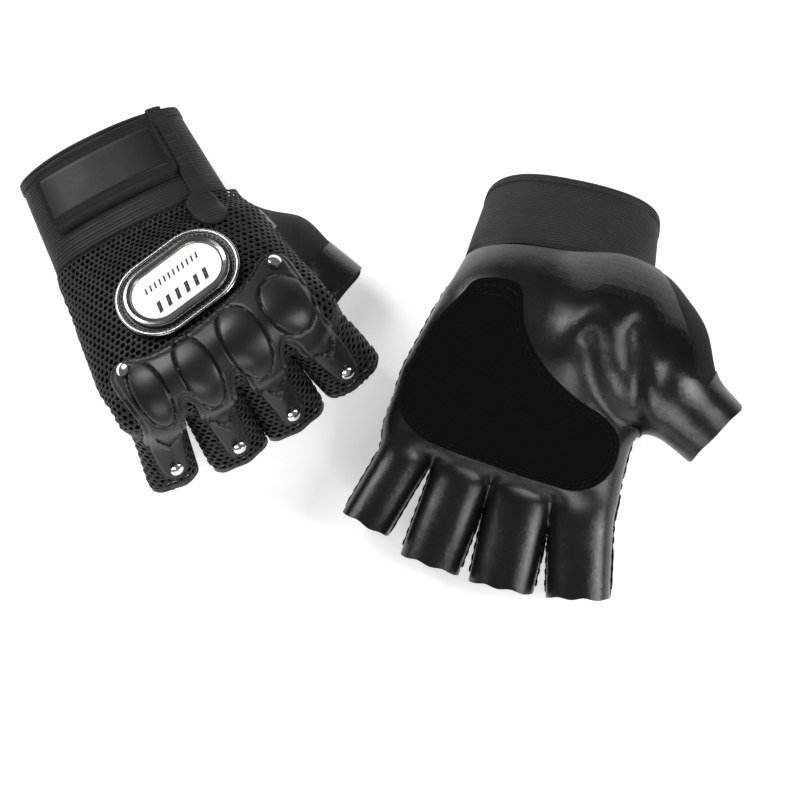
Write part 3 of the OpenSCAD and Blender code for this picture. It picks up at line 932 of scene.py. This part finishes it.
def make_patch(side, g):
    pts = np.array(PALM_PATCH, float)
    if g == 0:
        pts[:, 1] = 10 + (pts[:, 1] - 10) * 0.74
    loop = curve(pts, 8)
    level = outline(loop)
    p, tris = plan_sheet(level, loop.min(0) - 1, loop.max(0) + 1, 0.95)

    def on_palm(q, h):
        z = -(palm_h(q[:, 1]) + SKIN) * arch(q[:, 0], half_w(q[:, 1]) + SKIN)
        return snap(np.column_stack([q, z]), g, h)

    edge = -level(p)
    high = on_palm(p, bullnose(edge, 1.0, 1.2) - 0.06 * np.exp(-((edge - 2.4) / 0.6) ** 2))
    low = on_palm(p, 0.05)
    o = piece(f"{side}_wear_patch", closed(high, low, tris[:, ::-1]), g, (SUEDE,))
    follow(o, side, g, "hand")
    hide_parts(f"{side}_palm_patch")
    t = np.roll(loop, -1, 0) - np.roll(loop, 1, 0)
    n = np.stack([-t[:, 1], t[:, 0]], 1) / np.linalg.norm(t, axis=1)[:, None]
    if level(loop[:1] + n[:1])[0] > 0:
        n = -n
    rows = []
    for inset in (1.7, 3.3):
        q = loop + n * inset
        q = np.concatenate([q, q[:1]])
        path = on_palm(q, 1.08)
        nrm = slope(lambda x: skin_field(x, g), path)
        rows.append(stitches(path, nrm / np.linalg.norm(nrm, axis=1)[:, None], 2.3, 0.26, 0.7))
    o = piece(f"{side}_patch_stitches", merged(*rows), g, (DARK_THREAD,))
    follow(o, side, g, "hand")


def make_cuff(side, g):
    ys = np.linspace(-42, -0.2, 170)
    angles = np.linspace(0, 360, 181)[:-1]
    A, Y = np.meshgrid(angles, ys)
    a, y = A.ravel(), Y.ravel()
    rib = 0.28 * np.abs(np.sin(y * math.pi / 1.35)) ** 0.7
    wave = 0.35 * np.sin(np.radians(a) * 9 + y / 7) * ease((y + 16) / 16) + 0.25 * np.sin(np.radians(a) * 4)
    hem = 0.45 * (1 - ease((y + 38.6) / 0.8))
    tuck = -1.0 * ease((y + 2.2) / 2.2)
    wob = np.stack([0 * y, 0.5 * np.sin(np.radians(a) * 3 + 0.6) * (1 - ease((y + 42) / 12)), 0 * y], 1)
    high = arm(y, a, 0.95 + rib + wave * 0.6 + hem + tuck) + wob
    low = arm(y, a, 0.05 + wave * 0.6 + tuck) + wob
    n = len(angles)
    i, j = np.meshgrid(np.arange(len(ys) - 1), np.arange(n), indexing="ij")
    m = (j + 1) % n
    q = np.stack([i * n + j, (i + 1) * n + j, (i + 1) * n + m, i * n + m], -1).reshape(-1, 4)
    o = piece(f"{side}_cuff_elastic", closed(high, low, halves(q[:, ::-1])), g, (ELASTIC, ELASTIC, EDGE))
    follow(o, side, g, "hand")
    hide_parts(f"{side}_cuff_band")


def arc_plate(lo, hi, r, step, scale, profile, lift):
    """A rounded plate round the arm; lo and hi are in degrees and y, and scale is mm for a degree."""
    level = lambda p: rounded_box(p, (lo[0] * scale, lo[1]), (hi[0] * scale, hi[1]), r)
    p, tris = plan_sheet(level, (lo[0] * scale - 1, lo[1] - 1), (hi[0] * scale + 1, hi[1] + 1), step)
    tall = profile(p, -level(p))
    high = arm(p[:, 1], p[:, 0] / scale, lift + tall)
    low = arm(p[:, 1], p[:, 0] / scale, lift + 0 * tall)
    return closed(high, low, tris[:, ::-1])


def make_strap(side, g):
    scale = 0.72

    def strap(p, edge):
        h = bullnose(edge, 1.7, 1.0)
        h = h - 0.35 * np.exp(-((edge - 2.6) / 0.45) ** 2)
        return h + 0.05 * np.sin(p[:, 0] * 5.2) * np.sin(p[:, 1] * 5.2)

    o = piece(f"{side}_strap_band", arc_plate((42, -39.6), (124, -12.4), 4, 0.5, scale, strap, 2.6), g,
              (STRAP,), smooth=50)
    follow(o, side, g, "strap")
    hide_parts(f"{side}_closure_strap", f"{side}_hook_patch")
    inset = lambda p, edge: bullnose(edge, 0.75, 0.8)
    o = piece(f"{side}_strap_inset", arc_plate((48, -34.8), (118, -17.2), 1.2, 0.6, scale, inset, 4.15), g,
              (PATCH,), smooth=50)
    follow(o, side, g, "strap")
    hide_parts(f"{side}_strap_patch")
    rows = []
    for lo, hi, r in (((43.6, -38.3), (123, -13.7), 3.2), ((46.8, -35.8), (119.4, -16.2), 1.5)):
        path = box_path((lo[0] * scale, lo[1]), (hi[0] * scale, hi[1]), r)
        pts = arm(path[:, 1], path[:, 0] / scale, 4.32)
        up = arm(path[:, 1], path[:, 0] / scale, 5.32) - pts
        rows.append(stitches(pts, up / np.linalg.norm(up, axis=1)[:, None], 2.0, 0.24, 0.7))
    o = piece(f"{side}_strap_stitches", merged(*rows), g, (THREAD,))
    follow(o, side, g, "strap")

    def ribbed(p, edge):
        return bullnose(edge, 2.1, 0.8) + 0.3 * np.abs(np.sin(p[:, 1] * math.pi / 1.5)) - 0.15

    o = piece(f"{side}_cuff_tape", arc_plate((125, -42.6), (137.5, -0.3), 1.0, 0.42, scale, ribbed, 1.65), g,
              (TAPE,), smooth=50)
    follow(o, side, g, "hand")
    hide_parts(f"{side}_cuff_binding")


def box_path(lo, hi, r, n=8):
    pts = []
    for cx, cy, a0 in ((hi[0] - r, hi[1] - r, 0), (lo[0] + r, hi[1] - r, 90), (lo[0] + r, lo[1] + r, 180),
                       (hi[0] - r, lo[1] + r, 270)):
        for a in np.linspace(a0, a0 + 90, n):
            pts.append((cx + r * math.cos(math.radians(a)), cy + r * math.sin(math.radians(a))))
    pts.append(pts[0])
    return np.array(pts)


def make_tab(side, g):
    level = lambda p: rounded_box(p, (-32.5, -3), (-19.5, 21), 6.2)
    p, tris = plan_sheet(level, (-34, -4), (-18, 22), 0.45)
    edge = -level(p)

    def on_back(q, h):
        return np.column_stack([q, top_z(q[:, 0], q[:, 1], SKIN + 0.7 + h)])

    rib = 0.28 * (np.abs(np.sin(p[:, 1] * math.pi / 1.5)) - 0.5)
    tall = bullnose(edge, 1.6, 0.8) + rib * ease((edge - 1.6) / 0.5)
    o = piece(f"{side}_tab", closed(on_back(p, tall), on_back(p, 0 * tall), tris), g, (TAPE,), smooth=50)
    follow(o, side, g, "hand")
    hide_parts(f"{side}_pull_tab")


def make_badge(side, g):
    """The bezel's lip and channel, the bright ring, and plain bars on the white plate."""
    z0 = float(top_z(0, 37, SKIN)) + 0.2

    def frame_of(q):
        a = math.radians(-1.5)
        q = np.array(q, float)
        y = q[:, 1] * math.cos(a) - q[:, 2] * math.sin(a)
        z = q[:, 1] * math.sin(a) + q[:, 2] * math.cos(a)
        q = turn(np.stack([q[:, 0], y, z], 1), "z", 7)
        return q + np.array([0, 37.0, z0])

    def ring(profile, length=53.0, width=34.0, n=40):
        half = (length - width) / 2
        angles = np.concatenate([np.linspace(-90, 90, n), np.linspace(90, 270, n)])
        cx = np.concatenate([np.full(n, half), np.full(n, -half)])
        c, s = np.cos(np.radians(angles)), np.sin(np.radians(angles))
        pts = []
        for inset, h in profile:
            r = width / 2 - inset
            pts.append(np.stack([cx + r * c, r * s, 0 * c + h], 1))
        m, k = len(profile), 2 * n
        pts = np.concatenate(pts)
        faces = [[i * k + j, i * k + (j + 1) % k, ((i + 1) % m) * k + (j + 1) % k, ((i + 1) % m) * k + j]
                 for i in range(m) for j in range(k)]
        return frame_of(pts), faces, [0] * len(faces)

    def arch_profile(a, b, base, top, n=7):
        rows = [(a, base)]
        rise = (b - a) * 0.35
        for t in np.linspace(0, math.pi, n):
            rows.append(((a + b) / 2 - (b - a) / 2 * math.cos(t), top - rise + math.sin(t) * rise))
        return rows + [(b, base)]

    lip = ring(arch_profile(0, 1.7, 0, 2.3))
    o = piece(f"{side}_bezel_lip", lip, g, (DARK_CHROME,))
    follow(o, side, g, "hand")
    o = piece(f"{side}_bezel_floor", ring([(1.2, 0.0), (1.2, 1.5), (3.6, 1.3), (6.7, 1.5), (6.7, 0)]), g,
              (CHANNEL,))
    follow(o, side, g, "hand")
    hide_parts(f"{side}_badge_bezel")
    bright = ring([(3.4, 1.2), (3.4, 2.6), (4.0, 3.9), (4.9, 4.1), (6.3, 3.6), (6.9, 2.6), (6.9, 1.2)])
    o = piece(f"{side}_bright_ring", bright, g, (DARK_CHROME,), smooth=30)
    follow(o, side, g, "hand")
    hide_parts(f"{side}_badge_ring")
    path, _, _ = ring([(2.5, 1.5)])
    path = np.concatenate([path, path[:1]])
    up = np.tile([0, 0.03, 1.0], (len(path), 1))
    o = piece(f"{side}_bezel_stitches", stitches(path, up, 1.5, 0.28, 0.5), g, (THREAD,))
    follow(o, side, g, "hand")
    bars = []
    for x0, y0, wide, tall, n, gap in ((-12, 2.6, 1.7, 4.6, 6, 4.4), (-13, -5.2, 0.7, 2.6, 12, 2.2)):
        for k in range(n):
            x = x0 + k * gap
            lean = tall * 0.3
            flat = np.array([(x, y0), (x + wide, y0), (x + wide + lean, y0 + tall), (x + lean, y0 + tall)])
            top = np.column_stack([flat, np.full(4, 3.12)])
            low = np.column_stack([flat, np.full(4, 2.95)])
            pts = frame_of(np.concatenate([top, low]))
            sides = [[m, m + 4, (m + 1) % 4 + 4, (m + 1) % 4] for m in range(4)]
            faces = [[0, 1, 2, 3], [7, 6, 5, 4]] + sides
            bars.append((pts, faces, [0] * 6))
    o = piece(f"{side}_plate_bars", merged(*bars), g, (INK,), smooth=0)
    follow(o, side, g, "hand")
    for node, mat in ((f"{side}_badge_plate", WHITE), (f"{side}_plate_rivets", CHROME)):
        paint(node, mat)
    for f in FINGERS:
        paint(f"{side}_{f}_rivet", CHROME)


def paint(node, mat):
    o = frame["nodes"][node]
    o.data.materials.clear()
    o.data.materials.append(mat)


for g, side in enumerate(SIDES):
    make_skin(side, g)
    make_nets(side, g)
    make_guard(side, g)
    make_patch(side, g)
    make_cuff(side, g)
    make_strap(side, g)
    make_tab(side, g)
    make_badge(side, g)

# ------------------------------------------------------------------ floor, light and camera
mesh = bpy.data.meshes.new("floor")
mesh.from_pydata([(-4, -4, 0), (4, -4, 0), (4, 4, 0), (-4, 4, 0)], [], [(0, 1, 2, 3)])
floor = bpy.data.objects.new("floor", mesh)
bpy.context.scene.collection.objects.link(floor)
m, _, b = nodes_of("floor_white")
b.inputs["Base Color"].default_value = (0.88, 0.88, 0.88, 1)
b.inputs["Roughness"].default_value = 0.9
b.inputs["Emission Color"].default_value = (1, 1, 1, 1)
b.inputs["Emission Strength"].default_value = 0.5
mesh.materials.append(m)

scene = bpy.context.scene
sky = bpy.data.worlds.new("studio")
sky.use_nodes = True
sky.node_tree.nodes["Background"].inputs["Color"].default_value = (1, 1, 1, 1)
sky.node_tree.nodes["Background"].inputs["Strength"].default_value = 0.14
scene.world = sky


def area(name, at, aim, size, power):
    lamp = bpy.data.lights.new(name, "AREA")
    lamp.shape = "RECTANGLE"
    lamp.size, lamp.size_y = size
    lamp.energy = power
    o = bpy.data.objects.new(name, lamp)
    o.location = at
    d = np.array(aim, float) - np.array(at, float)
    d /= np.linalg.norm(d)
    o.rotation_euler = look(d)
    scene.collection.objects.link(o)


def look(d):
    return Vector(d).to_track_quat("-Z", "Y").to_euler()


area("key", (-0.95, 0.8, 1.05), (0, 0, 0.03), (0.8, 0.8), 24)
area("right", (1.15, -0.25, 0.95), (0, 0, 0.03), (0.5, 0.9), 15)
area("front", (0.0, -1.3, 0.85), (0, 0, 0.03), (0.9, 0.4), 9)

AIM = np.array([0.0095, -0.0205, 0.030])
ELEVATION = math.radians(80)
away = np.array([0, -math.cos(ELEVATION), math.sin(ELEVATION)])
cam = bpy.data.cameras.new("photo_camera")
cam.sensor_width = 36
cam.lens = 36 * 1.8 / 0.3135
cam.clip_end = 20
shot = bpy.data.objects.new("photo_camera", cam)
shot.location = AIM + away * 1.8
shot.rotation_euler = look(-away)
scene.collection.objects.link(shot)
scene.camera = shot
scene.view_settings.view_transform = "Standard"
